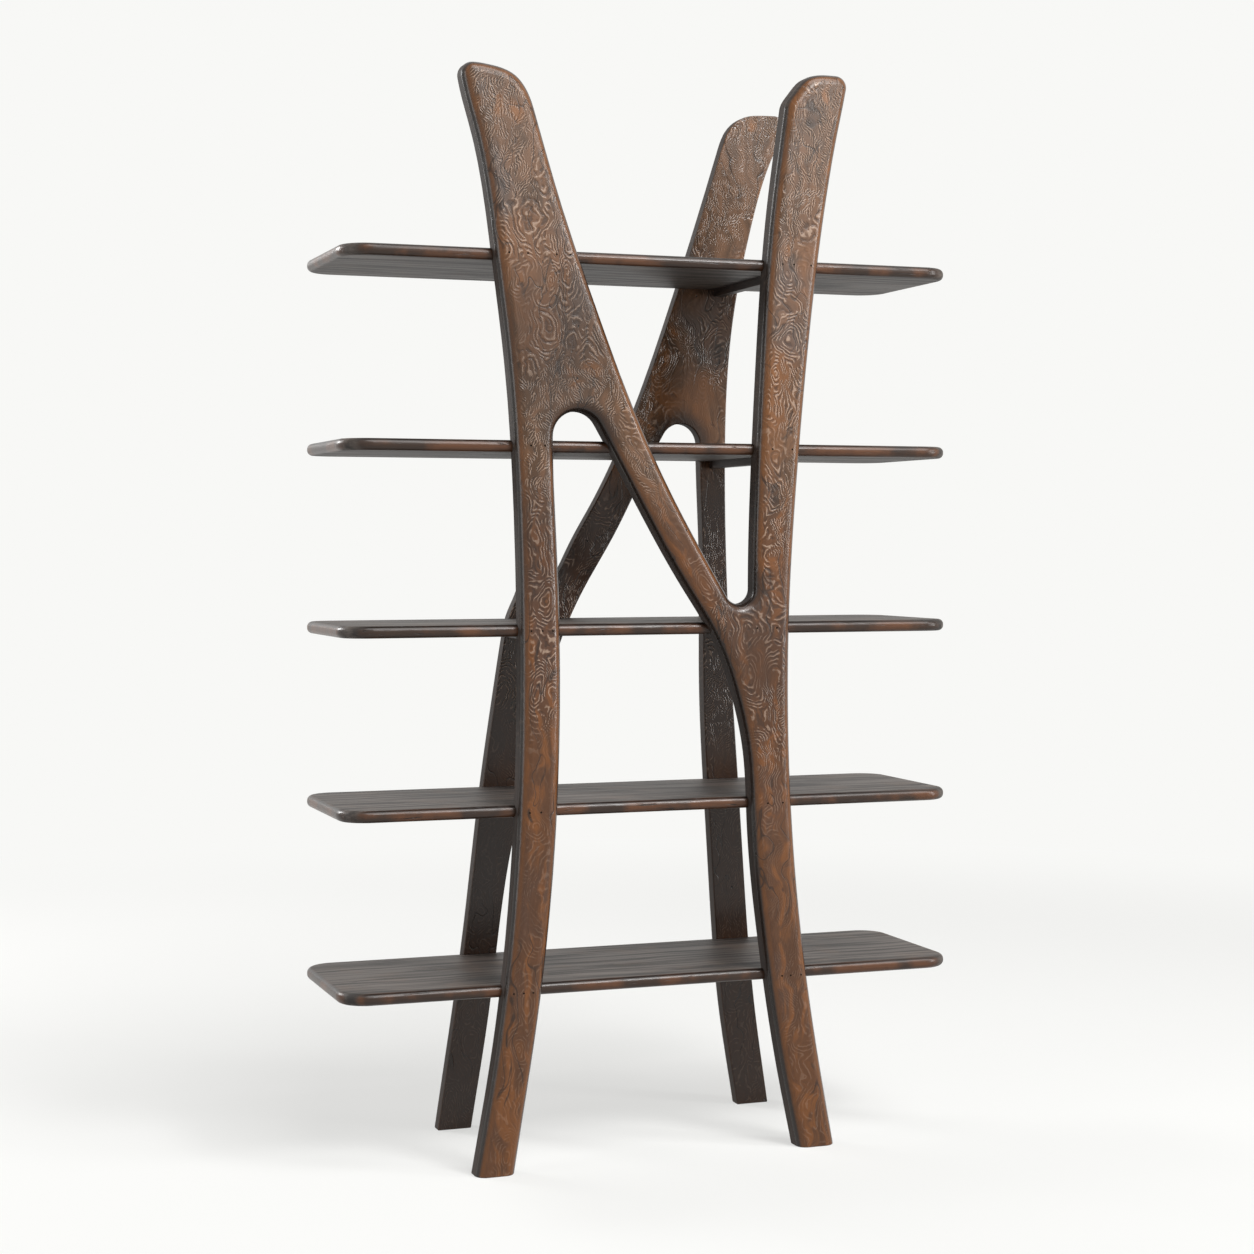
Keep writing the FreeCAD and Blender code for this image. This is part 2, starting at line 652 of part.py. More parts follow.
for name, underside in zip(SHELF_NAMES, SHELF_HEIGHTS):
    middle = underside + SHELF_THICKNESS / 2
    under = underside - size("rail_height") / 2

    # Pins through the frames into the shelf's edges, sunk a little below the outer face
    for side, pattern in (("front", FRONT), ("rear", REAR)):
        places = []
        for span, shares in ((leg_span(pattern, middle), LEG_PIN_SHARES[name]),
                             (prong_span(pattern, middle), PRONG_PIN_SHARES[name])):
            places += [span[0] + (span[1] - span[0]) * share for share in shares]
        pins = []
        inward = TURNS[side].Rotation.multVec(Vector(0, 1, 0))
        for number, place in enumerate(places, start=1):
            label = "%s_%s_pin_%d" % (side, name, number)
            head = TURNS[side].multVec(Vector(place, -OUTER_FACE + size("pin_sink"), middle))
            pins.append(rod(label, "pin_diameter", size("pin_length"), head, inward))
            bore_length = size("pin_length") + size("pin_sink") + OVERRUN
            mouth = TURNS[side].multVec(Vector(place, -OUTER_FACE - OVERRUN, middle))
            bore = rod(label + "_bore", "pin_diameter", bore_length, mouth, inward)
            frame_cutters[side].append(bore)
            shelf_cutters[name].append(bore)
        keep("%s_%s_shelf_pins" % (side, name), group("%s_%s_pins" % (side, name), pins))

    # Rails, doweled to both frames and screwed up into the shelf
    front_leg, rear_leg = leg_span(FRONT, under), leg_span(REAR, under)
    front_prong, rear_prong = prong_span(FRONT, under), prong_span(REAR, under)
    runs = {
        "left": rail_ends(front_leg, (-rear_prong[1], -rear_prong[0])),
        "right": rail_ends(front_prong, (-rear_leg[1], -rear_leg[0])),
    }
    dowels = []
    screws = []
    for hand, (front_x, rear_x) in runs.items():
        label = "%s_%s_rail" % (hand, name)
        bar = rail_bar(label, front_x, rear_x, underside)
        drilled = []
        for side, end_x, end_y in (("front", front_x, -INNER_FACE), ("rear", rear_x, INNER_FACE)):
            start = Vector(end_x, end_y - size("dowel_length") / 2, under)
            dowel = rod("%s_%s_dowel" % (label, side), "dowel_diameter", size("dowel_length"), start,
                        Vector(0, 1, 0))
            dowels.append(dowel)
            drilled.append(dowel)
            frame_cutters[side].append(dowel)
        for number, share in enumerate(RAIL_SCREW_SHARES, start=1):
            foot = Vector(front_x + (rear_x - front_x) * share,
                          -INNER_FACE + 2 * INNER_FACE * share, underside - size("rail_height"))
            screw = countersunk_screw("%s_screw_%d" % (label, number), foot)
            screws.append(screw)
            drilled.append(screw)
            shelf_cutters[name].append(screw)
        keep(label, cut(label + "_drilled", bar, group(label + "_holes", drilled)))
    keep(name + "_rail_dowels", group(name + "_dowels", dowels))
    keep(name + "_rail_screws", group(name + "_screws", screws))
    keep(name + "_shelf", cut(name + "_shelf_drilled", shelves[name],
                              group(name + "_shelf_holes", shelf_cutters[name])))

for side in ("front", "rear"):
    holes = group(side + "_holes", frame_cutters[side])
    for name, member in members[side].items():
        keep("%s_%s" % (side, name), cut("%s_%s_drilled" % (side, name), member, holes))
    for name, piece in tenons[side].items():
        keep("%s_%s" % (side, name), piece)

doc.recompute()
for item in doc.Objects:
    if "Invalid" in item.State or "Error" in item.State:
        raise RuntimeError("%s failed: %s" % (item.Name, item.State))
for node, piece in finished.items():
    if piece.Shape.isNull() or not piece.Shape.isValid() or not piece.Shape.Solids:
        raise RuntimeError("%s has no valid solid" % node)
for node, piece in finished.items():
    piece.Shape.exportStep("parts/%s.step" % node)
print("%d nodes, %d solids" % (len(finished), sum(len(piece.Shape.Solids) for piece in finished.values())))
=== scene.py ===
import math

import bpy
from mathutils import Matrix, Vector


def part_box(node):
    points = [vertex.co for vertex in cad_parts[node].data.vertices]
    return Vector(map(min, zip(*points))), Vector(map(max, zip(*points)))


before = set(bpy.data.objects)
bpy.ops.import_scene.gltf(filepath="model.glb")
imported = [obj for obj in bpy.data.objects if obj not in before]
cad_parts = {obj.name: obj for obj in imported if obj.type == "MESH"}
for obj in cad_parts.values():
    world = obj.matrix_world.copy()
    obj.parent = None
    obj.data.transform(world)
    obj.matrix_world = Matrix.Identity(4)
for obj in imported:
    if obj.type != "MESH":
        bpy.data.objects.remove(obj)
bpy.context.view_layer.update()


# Stage: a pale matt floor that runs into a white surround and keeps the soft shadows by the feet.
# A broad overhead light and a top lamp fall on the front, a tall soft box stands on each side to
# draw the members' rounded edges in their gloss, and one lamp stands behind for the back.
def linear(hex_colour):
    """A linear colour from an sRGB hex value."""
    channels = [int(hex_colour[place:place + 2], 16) / 255 for place in (1, 3, 5)]
    return tuple(value / 12.92 if value <= 0.04045 else ((value + 0.055) / 1.055) ** 2.4
                 for value in channels) + (1.0,)


def add_node(tree, kind, sockets=None, **settings):
    """A node with its settings, its inputs set or linked. Its outputs come back. A map range's
    inputs are 0, the value, 1 and 2, the span it is read from, and 3 and 4, the span it gives."""
    made = tree.nodes.new("ShaderNode" + kind)
    for name, value in settings.items():
        setattr(made, name, value)
    for name, value in (sockets or {}).items():
        if isinstance(value, bpy.types.NodeSocket):
            tree.links.new(value, made.inputs[name])
        else:
            made.inputs[name].default_value = value
    return made.outputs


def new_material(name):
    """An empty material and its tree."""
    material = bpy.data.materials.new(name)
    material.use_nodes = True
    material.node_tree.nodes.clear()
    return material, material.node_tree


def background_ray(tree):
    """1 where a ray shows the background: seen straight, in a gloss or through glass, else 0."""
    rays = add_node(tree, "LightPath")
    seen = rays["Is Camera Ray"]
    for other in ("Is Glossy Ray", "Is Transmission Ray"):
        seen = add_node(tree, "Math", {0: seen, 1: rays[other]}, operation="MAXIMUM")[0]
    return seen


scene = bpy.context.scene
scene.view_settings.view_transform = "Standard"

STUDIO_WHITE = "#F8F8F6"
FLOOR_PAINT = "#EAEAE8"
FLOOR_BOUNCE = "#9C9B99"
FLOOR_RADIUS = 30.0
FLOOR_CORNERS = 96
FLOOR_LIT_RADIUS = 2.4      # metres: out to here the floor is painted, from there it fades to white
FLOOR_FADE_RADIUS = 4.5
SHADOW_SHARE = 0.40         # of the paint's own light and shade that the floor keeps
EASED = {"interpolation_type": "SMOOTHSTEP"}

floor_material, tree = new_material("matt_floor")
place = add_node(tree, "TexCoord")["Object"]
away = add_node(tree, "VectorMath", {0: place}, operation="LENGTH")["Value"]
near = add_node(tree, "MapRange", {
    0: away, 1: FLOOR_LIT_RADIUS, 2: FLOOR_FADE_RADIUS, 3: SHADOW_SHARE, 4: 0.0,
}, **EASED)["Result"]
white = add_node(tree, "Emission", {"Color": linear(STUDIO_WHITE)})["Emission"]
paint = add_node(tree, "BsdfDiffuse", {"Color": linear(FLOOR_PAINT)})["BSDF"]
shown = add_node(tree, "MixShader", {0: near, 1: white, 2: paint})[0]
bounce = add_node(tree, "BsdfDiffuse", {"Color": linear(FLOOR_BOUNCE)})["BSDF"]
surface = add_node(tree, "MixShader", {0: background_ray(tree), 1: bounce, 2: shown})[0]
add_node(tree, "OutputMaterial", {"Surface": surface})

bpy.ops.mesh.primitive_circle_add(vertices=FLOOR_CORNERS, radius=FLOOR_RADIUS, fill_type="NGON")
floor = bpy.context.object
floor.name = "floor"
floor.data.materials.append(floor_material)

FILL_STRENGTH = 0.13
world = bpy.data.worlds.new("studio")
scene.world = world
world.use_nodes = True
tree = world.node_tree
tree.nodes.clear()
fill = add_node(tree, "Background", {"Color": linear("#FFFFFF"), "Strength": FILL_STRENGTH})[0]
surround = add_node(tree, "Background", {"Color": linear(STUDIO_WHITE), "Strength": 1.0})[0]
mixed = add_node(tree, "MixShader", {0: background_ray(tree), 1: fill, 2: surround})[0]
add_node(tree, "OutputWorld", {"Surface": mixed})

OVERHEAD_AZIMUTH = math.radians(20.0)
OVERHEAD_HEIGHT = math.radians(55.0)
OVERHEAD_WIDTH = math.radians(40.0)
OVERHEAD_STRENGTH = 1.8
overhead = bpy.data.lights.new("overhead_lamp", "SUN")
overhead.energy = OVERHEAD_STRENGTH
overhead.angle = OVERHEAD_WIDTH
overhead_object = bpy.data.objects.new("overhead_lamp", overhead)
scene.collection.objects.link(overhead_object)
level = math.cos(OVERHEAD_HEIGHT)
lamp_from = Vector((level * math.sin(OVERHEAD_AZIMUTH), -level * math.cos(OVERHEAD_AZIMUTH),
                    math.sin(OVERHEAD_HEIGHT)))
overhead_object.rotation_euler = lamp_from.to_track_quat("Z", "Y").to_euler()

LAMPS = [
    # name, place, aim, width, height, watts
    ("top_lamp", (1.3, -2.9, 3.3), (0.0, 0.0, 1.3), 0.9, 0.9, 78.0),
    ("right_soft_box", (3.7, -2.6, 1.9), (0.0, 0.0, 1.2), 0.7, 3.0, 88.0),
    ("left_soft_box", (-3.5, -0.6, 1.7), (0.0, 0.0, 1.2), 0.9, 3.0, 22.0),
    ("rear_lamp", (-3.0, 3.4, 2.8), (0.0, 0.0, 1.1), 1.4, 1.4, 120.0),
]
for name, lamp_place, aim, width, height, watts in LAMPS:
    lamp = bpy.data.lights.new(name, "AREA")
    lamp.shape = "RECTANGLE"
    lamp.size = width
    lamp.size_y = height
    lamp.energy = watts
    lamp_object = bpy.data.objects.new(name, lamp)
    scene.collection.objects.link(lamp_object)
    lamp_object.location = lamp_place
    beam = Vector(aim) - Vector(lamp_place)
    lamp_object.rotation_euler = beam.to_track_quat("-Z", "Y").to_euler()

# Camera: level, at chest height and 4.5 m away, turned to see the front and the left side. The
# photograph is square, and its horizon lies above the middle, so the lens is shifted down.
PHOTO_PIXELS = 1254
FOCAL_PIXELS = 2359
HORIZON_PIXEL = 543.1
CENTRE_PIXEL = 626.8
SENSOR_MM = 36.0
CAMERA_PLACE = (-1.5434, -4.2366, 1.132)
CAMERA_TURN = math.radians(-19.93)
camera_data = bpy.data.cameras.new("camera")
camera_data.sensor_fit = "HORIZONTAL"
camera_data.sensor_width = SENSOR_MM
camera_data.lens = FOCAL_PIXELS / PHOTO_PIXELS * SENSOR_MM
camera_data.shift_x = (PHOTO_PIXELS / 2 - CENTRE_PIXEL) / PHOTO_PIXELS
camera_data.shift_y = (HORIZON_PIXEL - PHOTO_PIXELS / 2) / PHOTO_PIXELS
camera = bpy.data.objects.new("camera", camera_data)
scene.collection.objects.link(camera)
camera.location = CAMERA_PLACE
camera.rotation_euler = (math.radians(90.0), 0.0, CAMERA_TURN)
scene.camera = camera

# Frames: walnut members, planed, glued up and rounded over, then carved all over with a close wormy
# figure, stained dark, rubbed back to orange-brown on the shoulders, and waxed to a satin gloss.
MM = 0.001
OUTER_FACE = 200.5 * MM     # both faces from the middle of the depth
INNER_FACE = 158.5 * MM
BLADE_FOOT = 1.30           # metres up: where the blades end in their arches
WEB_FOOT = 0.90             # and where the webs run out into the legs

# The figure: its lines, the long eyes they run round, how they turn and sway, and its depth
FIGURE_PITCH = 4.6 * MM
EYE_PITCH = 52.0 * MM
EYE_SOFTNESS = 0.15
EYE_DRAW = (1.0, 0.0, 0.6)      # across, through and along the wood
RIPPLE_COUNT = 2.0
RIPPLE_ORDER = 0.85
TURN_PITCH = 30.0 * MM
TURN_SPAN = (0.3, 0.7)
TURN_REACH = 0.95               # radians either way
WOBBLE_PITCH = FIGURE_PITCH / 0.4
WOBBLE = 0.55                   # of a line's spacing either way
SWAY_PITCH = 70.0 * MM
SWAY_REACH = 30.0 * MM
PATCH_PITCH = 150.0 * MM
RELIEF = 0.45 * MM
LOOPED_SPAN = (0.46, 0.50)
RIDGE_SPAN = (0.45, 1.0)
GROOVE_SPAN = (0.0, -0.9)
BROKEN_SPAN = (0.36, 0.54)
LIVELY_SPAN = (0.36, 0.52)

# How much of it shows in calm places, on the round-over, on the inner faces and on the worn legs
CALM_FIGURE, EDGE_FIGURE, INNER_FIGURE, WORN_FIGURE = 0.15, 0.12, 0.8, 0.22
WORN_HEIGHT = 350 * MM

# The stain: its bands, grain and veins, drawn out along the wood, and its clouds, and the painted
# shade and highlight laid into it. The pores of walnut, 0.2 mm wide, are too fine to show, so the
# grain is drawn as coarse as it needs
STREAK_WIDTH = 9.0 * MM
GRAIN_WIDTH = 1.6 * MM
GRAIN_CONTRAST, GRAIN_LEVEL = 0.5, 0.75
GRAIN_STRETCH = 0.09
VEIN_PITCH = 16.0 * MM
VEIN_WIDTH = 0.35 * MM
BAND_SPAN = (0.34, 0.66)
STREAK_SPAN = (0.50, 0.64)
EYE_SPAN = (0.30, 0.12)
WARM_SPAN = (0.48, 0.64)
GREY_SPAN = (0.50, 0.66)
VEINED_SPAN = (0.46, 0.54)
LEG_TOP, LEG_FADE = BLADE_FOOT, 200 * MM
INNER_TOP, INNER_FADE = BLADE_FOOT + 20 * MM, 120 * MM
EYE_AMOUNT, CLOUD_AMOUNT, VEIN_AMOUNT, STREAK_AMOUNT = 0.7, 0.75, 0.75, 0.6
LEG_AMOUNT, SHOULDER_AMOUNT, FLANK_SHADE_AMOUNT, INNER_SHADE_AMOUNT = 0.66, 0.65, 0.92, 0.88
RIDGE_AMOUNT, GROOVE_AMOUNT = 0.58, 0.55

# Depths below the outer face between which each finish and painted shade of the round-over comes or
# goes, and heights over the inner face in which the side's finishes and painted shade give way to
# the inner face's
FIGURE_DEPTHS = (2.5 * MM, 0.2 * MM)
SHOULDER_DEPTHS = (0.3 * MM, 3 * MM)
SHOULDER_END_DEPTHS = (10 * MM, 5 * MM)
FLANK_SHADE_DEPTHS = (4 * MM, 9 * MM)
RUBBED_DEPTHS = (0.2 * MM, 1.5 * MM)
DULL_DEPTHS = (13 * MM, 19 * MM)
INNER_FIGURE_EDGE, INNER_DULL_EDGE, INNER_SHADE_EDGE = 1.5 * MM, 2 * MM, 3 * MM

# Gloss: the wax's roughness over the clouds, polished on the round-over and dull on the sides
WAX_SPAN = (0.35, 0.65)
WAX_ROUGHNESS = (0.30, 0.42)
POLISH = 0.6
DULLNESS = 0.55
WALNUT_IOR = 1.5

# Wormholes and slits: their spacing and radius, how much longer they are than wide, and in what
# share of the places they are. Then how high the grain, they and the veins stand, in reliefs
WORMHOLES = (38.0 * MM, 1.9 * MM, 1.6, 0.50)
SLITS = (85.0 * MM, 1.7 * MM, 7.0, 0.45)
HOLE_FLOOR = 0.55               # of a hole's radius that is flat
GRAIN_LIFT, HOLE_LIFT, VEIN_LIFT = 0.35, -4.0, -1.2


def holes_in(tree, place, pitch, radius, stretch, share):
    """Small holes scattered in a share of a grid's cells, stretched along the grain."""
    squeezed = add_node(tree, "VectorMath", {
        0: place, 1: (1.0, 1.0, 1.0 / stretch),
    }, operation="MULTIPLY")[0]
    cells = add_node(tree, "TexVoronoi", {"Vector": squeezed, "Scale": 1.0 / pitch})
    near = add_node(tree, "MapRange", {
        0: cells["Distance"], 1: HOLE_FLOOR * radius / pitch, 2: radius / pitch, 3: 1.0, 4: 0.0,
    }, **EASED)["Result"]
    chosen = add_node(tree, "SeparateColor", {"Color": cells["Color"]})["Red"]
    chosen = add_node(tree, "Math", {0: chosen, 1: share}, operation="LESS_THAN")[0]
    return add_node(tree, "Math", {0: near, 1: chosen}, operation="MULTIPLY")[0]


def layered(tree, colour, coats):
    """A colour with coats laid over it in turn: each has its sRGB colour and the socket of its
    amount."""
    for over, amount in coats:
        colour = add_node(tree, "Mix", {
            "Factor": amount, "A": colour, "B": linear(over),
        }, data_type="RGBA")["Result"]
    return colour


def carved_walnut(name, lean_degrees, carving, painted_shades):
    """The finish of members whose grain leans from the upright, carved to a depth from 0 to 1, with
    dark painted shades laid into the colour: each has its centre, radius, fade and strength."""
    material, tree = new_material(name)
    place = add_node(tree, "TexCoord")["Object"]
    along = add_node(tree, "Mapping", {
        "Vector": place, "Rotation": (0.0, math.radians(lean_degrees), 0.0),
    })[0]
    where = add_node(tree, "SeparateXYZ", {"Vector": place})
    depth = add_node(tree, "Math", {0: where["Y"]}, operation="ABSOLUTE")[0]
    low_down = add_node(tree, "MapRange", {
        0: where["Z"], 1: LEG_TOP, 2: LEG_TOP - LEG_FADE,
    }, **EASED)["Result"]

    # The figure: close level lines round long eyes, swayed by noise, broken and faint in places. A
    # noise's lights and darks are about half a unit wide, hence the 0.5 over a width in the scales
    sway = add_node(tree, "TexNoise", {
        "Vector": along, "Scale": 1 / SWAY_PITCH, "Detail": 1.0,
    })["Color"]
    sway = add_node(tree, "VectorMath", {0: sway, 1: (0.5, 0.5, 0.5)}, operation="SUBTRACT")[0]
    sway = add_node(tree, "VectorMath", {0: sway, "Scale": 2 * SWAY_REACH}, operation="SCALE")[0]
    bent = add_node(tree, "VectorMath", {0: along, 1: sway}, operation="ADD")[0]
    drawn = add_node(tree, "VectorMath", {0: bent, 1: EYE_DRAW}, operation="MULTIPLY")[0]
    eyes = add_node(tree, "TexVoronoi", {
        "Vector": drawn, "Scale": 1 / EYE_PITCH, "Smoothness": EYE_SOFTNESS,
    }, feature="SMOOTH_F1")
    wobble = add_node(tree, "TexNoise", {
        "Vector": along, "Scale": 1 / WOBBLE_PITCH, "Detail": 1.0,
    })["Fac"]
    wobble = add_node(tree, "Math", {0: wobble, 1: 2 * math.tau * WOBBLE}, operation="MULTIPLY")[0]
    flat = add_node(tree, "SeparateXYZ", {"Vector": along})
    flat = add_node(tree, "CombineXYZ", {"X": flat["X"], "Y": flat["Z"]})[0]
    turning = add_node(tree, "TexNoise", {
        "Vector": drawn, "Scale": 1 / TURN_PITCH, "Detail": 1.0,
    })["Fac"]
    turning = add_node(tree, "MapRange", {
        0: turning, 1: TURN_SPAN[0], 2: TURN_SPAN[1], 3: -TURN_REACH, 4: TURN_REACH,
    }, **EASED)["Result"]
    ripples = add_node(tree, "TexGabor", {
        "Vector": flat, "Scale": 1 / (RIPPLE_COUNT * FIGURE_PITCH), "Frequency": RIPPLE_COUNT,
        "Anisotropy": RIPPLE_ORDER, "Orientation": turning,
    }, gabor_type="2D")["Phase"]
    strokes = add_node(tree, "Math", {
        0: ripples, 1: math.tau, 2: wobble,
    }, operation="MULTIPLY_ADD")[0]
    strokes = add_node(tree, "Math", {0: strokes}, operation="COSINE")[0]
    turns = math.tau * EYE_PITCH / FIGURE_PITCH
    loops = add_node(tree, "Math", {
        0: eyes["Distance"], 1: turns, 2: wobble,
    }, operation="MULTIPLY_ADD")[0]
    loops = add_node(tree, "Math", {0: loops}, operation="SINE")[0]
    looped = add_node(tree, "TexNoise", {
        "Vector": drawn, "Scale": 1 / PATCH_PITCH, "Detail": 1.0,
    })["Fac"]
    looped = add_node(tree, "MapRange", {
        0: looped, 1: LOOPED_SPAN[0], 2: LOOPED_SPAN[1],
    }, **EASED)["Result"]
    wave = add_node(tree, "Mix", {"Factor": looped, "A": strokes, "B": loops})["Result"]
    ridge = add_node(tree, "MapRange", {
        0: wave, 1: RIDGE_SPAN[0], 2: RIDGE_SPAN[1],
    }, **EASED)["Result"]
    groove = add_node(tree, "MapRange", {
        0: wave, 1: GROOVE_SPAN[0], 2: GROOVE_SPAN[1],
    }, **EASED)["Result"]
    broken = add_node(tree, "TexNoise", {
        "Vector": drawn, "Scale": 0.5 / FIGURE_PITCH, "Detail": 0.0,
    })["Fac"]
    broken = add_node(tree, "MapRange", {
        0: broken, 1: BROKEN_SPAN[0], 2: BROKEN_SPAN[1],
    }, **EASED)["Result"]
    lively = add_node(tree, "TexNoise", {
        "Vector": along, "Scale": 1 / PATCH_PITCH, "Detail": 2.0,
    })["Fac"]
    lively = add_node(tree, "MapRange", {
        0: lively, 1: LIVELY_SPAN[0], 2: LIVELY_SPAN[1], 3: CALM_FIGURE, 4: 1.0,
    }, **EASED)["Result"]
    front_side = add_node(tree, "MapRange", {
        0: depth, 1: OUTER_FACE - FIGURE_DEPTHS[0], 2: OUTER_FACE - FIGURE_DEPTHS[1],
        3: EDGE_FIGURE, 4: 1.0,
    }, **EASED)
    inner_side = add_node(tree, "MapRange", {
        0: depth, 1: INNER_FACE, 2: INNER_FACE + INNER_FIGURE_EDGE,
        3: INNER_FIGURE, 4: 0.0,
    }, **EASED)
    strength = add_node(tree, "Math", {
        0: front_side["Result"], 1: inner_side["Result"],
    }, operation="MAXIMUM")[0]
    worn = add_node(tree, "MapRange", {
        0: where["Z"], 1: WEB_FOOT - WORN_HEIGHT, 2: WEB_FOOT, 3: WORN_FIGURE * carving, 4: carving,
    }, **EASED)["Result"]
    for share in (broken, lively, worn):
        strength = add_node(tree, "Math", {0: strength, 1: share}, operation="MULTIPLY")[0]
    ridge = add_node(tree, "Math", {0: ridge, 1: strength}, operation="MULTIPLY")[0]
    groove = add_node(tree, "Math", {0: groove, 1: strength}, operation="MULTIPLY")[0]

    # The stain: long bands, warm eyes and grey clouds and orange shoulders, with painted shade:
    # near black on the sides and dark on the inner faces below the blades
    stretched = add_node(tree, "VectorMath", {
        0: bent, 1: (1.0, 1.0, GRAIN_STRETCH),
    }, operation="MULTIPLY")[0]
    bands = add_node(tree, "TexNoise", {
        "Vector": stretched, "Scale": 0.5 / STREAK_WIDTH, "Detail": 3.0,
    })["Fac"]
    grain = add_node(tree, "TexNoise", {
        "Vector": stretched, "Scale": 0.5 / GRAIN_WIDTH, "Detail": 2.0,
    })["Fac"]
    veins = add_node(tree, "TexNoise", {
        "Vector": stretched, "Scale": 0.5 / VEIN_PITCH, "Detail": 1.0,
    })["Fac"]
    veins = add_node(tree, "Math", {0: veins, 1: 0.5}, operation="SUBTRACT")[0]
    veins = add_node(tree, "Math", {0: veins}, operation="ABSOLUTE")[0]
    veins = add_node(tree, "MapRange", {
        0: veins, 1: VEIN_WIDTH / VEIN_PITCH, 2: 0.0,
    }, **EASED)["Result"]
    clouds = add_node(tree, "TexNoise", {
        "Vector": drawn, "Scale": 1 / PATCH_PITCH, "Detail": 3.0,
    })["Color"]
    clouds = add_node(tree, "SeparateColor", {"Color": clouds})
    pale_band = add_node(tree, "MapRange", {
        0: bands, 1: BAND_SPAN[0], 2: BAND_SPAN[1],
    }, **EASED)["Result"]
    warm_eye = add_node(tree, "MapRange", {
        0: eyes["Distance"], 1: EYE_SPAN[0], 2: EYE_SPAN[1], 3: 0.0, 4: EYE_AMOUNT,
    }, **EASED)["Result"]
    warm_cloud = add_node(tree, "MapRange", {
        0: clouds["Red"], 1: WARM_SPAN[0], 2: WARM_SPAN[1], 3: 0.0, 4: CLOUD_AMOUNT,
    }, **EASED)["Result"]
    grey_cloud = add_node(tree, "MapRange", {
        0: clouds["Green"], 1: GREY_SPAN[0], 2: GREY_SPAN[1], 3: 0.0, 4: CLOUD_AMOUNT,
    }, **EASED)["Result"]
    veined = add_node(tree, "MapRange", {
        0: clouds["Blue"], 1: VEINED_SPAN[0], 2: VEINED_SPAN[1], 3: 0.0, 4: VEIN_AMOUNT,
    }, **EASED)["Result"]
    veins = add_node(tree, "Math", {0: veins, 1: veined}, operation="MULTIPLY")[0]
    orange_leg = add_node(tree, "Math", {0: low_down, 1: LEG_AMOUNT}, operation="MULTIPLY")[0]
    shoulder_front = add_node(tree, "MapRange", {
        0: depth, 1: OUTER_FACE - SHOULDER_DEPTHS[0], 2: OUTER_FACE - SHOULDER_DEPTHS[1],
    }, **EASED)
    shoulder_back = add_node(tree, "MapRange", {
        0: depth, 1: OUTER_FACE - SHOULDER_END_DEPTHS[0], 2: OUTER_FACE - SHOULDER_END_DEPTHS[1],
    }, **EASED)
    shoulder = add_node(tree, "Math", {
        0: shoulder_front["Result"], 1: shoulder_back["Result"],
    }, operation="MULTIPLY")[0]
    shoulder = add_node(tree, "Math", {0: shoulder, 1: SHOULDER_AMOUNT}, operation="MULTIPLY")[0]
    # Painted shade: the sides are coloured near black from a few millimetres behind the round-over
    # to the inner face
    flank_shade_front = add_node(tree, "MapRange", {
        0: depth, 1: OUTER_FACE - FLANK_SHADE_DEPTHS[0], 2: OUTER_FACE - FLANK_SHADE_DEPTHS[1],
    }, **EASED)
    flank_shade_back = add_node(tree, "MapRange", {
        0: depth, 1: INNER_FACE, 2: INNER_FACE + INNER_SHADE_EDGE,
    }, **EASED)
    flank_shade = add_node(tree, "Math", {
        0: flank_shade_front["Result"], 1: flank_shade_back["Result"],
    }, operation="MULTIPLY")[0]
    flank_shade = add_node(tree, "Math", {0: flank_shade, 1: FLANK_SHADE_AMOUNT}, operation="MULTIPLY")[0]
    # Painted shade: the inner faces are coloured dark below the blades, under the shelves
    inner_painted_shade = add_node(tree, "MapRange", {
        0: depth, 1: INNER_FACE + INNER_SHADE_EDGE, 2: INNER_FACE, 3: 0.0, 4: INNER_SHADE_AMOUNT,
    }, **EASED)["Result"]
    under_blade = add_node(tree, "MapRange", {
        0: where["Z"], 1: INNER_TOP, 2: INNER_TOP - INNER_FADE,
    }, **EASED)["Result"]
    inner_painted_shade = add_node(tree, "Math", {0: inner_painted_shade, 1: under_blade}, operation="MULTIPLY")[0]
    streaks = add_node(tree, "MapRange", {
        0: bands, 1: STREAK_SPAN[0], 2: STREAK_SPAN[1], 3: 0.0, 4: STREAK_AMOUNT,
    }, **EASED)["Result"]
    streaks = add_node(tree, "Math", {0: streaks, 1: low_down}, operation="MULTIPLY")[0]
    # Ridges are coloured paler and grooves darker: partly rubbed, stain-filled carving, partly
    # painted highlight on the crests and painted shade in the grooves
    pale_ridge_and_highlight = add_node(tree, "Math", {0: ridge, 1: RIDGE_AMOUNT}, operation="MULTIPLY")[0]
    dark_groove_and_shade = add_node(tree, "Math", {0: groove, 1: GROOVE_AMOUNT}, operation="MULTIPLY")[0]
    colour = layered(tree, linear("#4D3623"), [
        ("#6D4E37", pale_band), ("#83542C", warm_eye), ("#794E2C", warm_cloud),
        ("#534741", grey_cloud), ("#4C2B13", orange_leg), ("#7A4A22", streaks),
        ("#70431B", shoulder), ("#231D1A", flank_shade), ("#2E1A0C", inner_painted_shade),
        ("#B89E8A", pale_ridge_and_highlight), ("#251811", dark_groove_and_shade), ("#1E130C", veins),
    ])
    plane = add_node(tree, "VectorMath", {0: place, 1: (1.0, 0.0, 1.0)}, operation="MULTIPLY")[0]
    # Painted shade: dark patches laid into the colour round the arches and notches and on the
    # members
    for x, z, radius, fade, dark in painted_shades:
        away = add_node(tree, "VectorMath", {
            0: plane, 1: (x, 0.0, z),
        }, operation="DISTANCE")["Value"]
        painted_shade = add_node(tree, "MapRange", {
            0: away, 1: radius, 2: radius + fade, 3: dark, 4: 0.0,
        }, **EASED)["Result"]
        colour = layered(tree, colour, [("#241C18", painted_shade)])
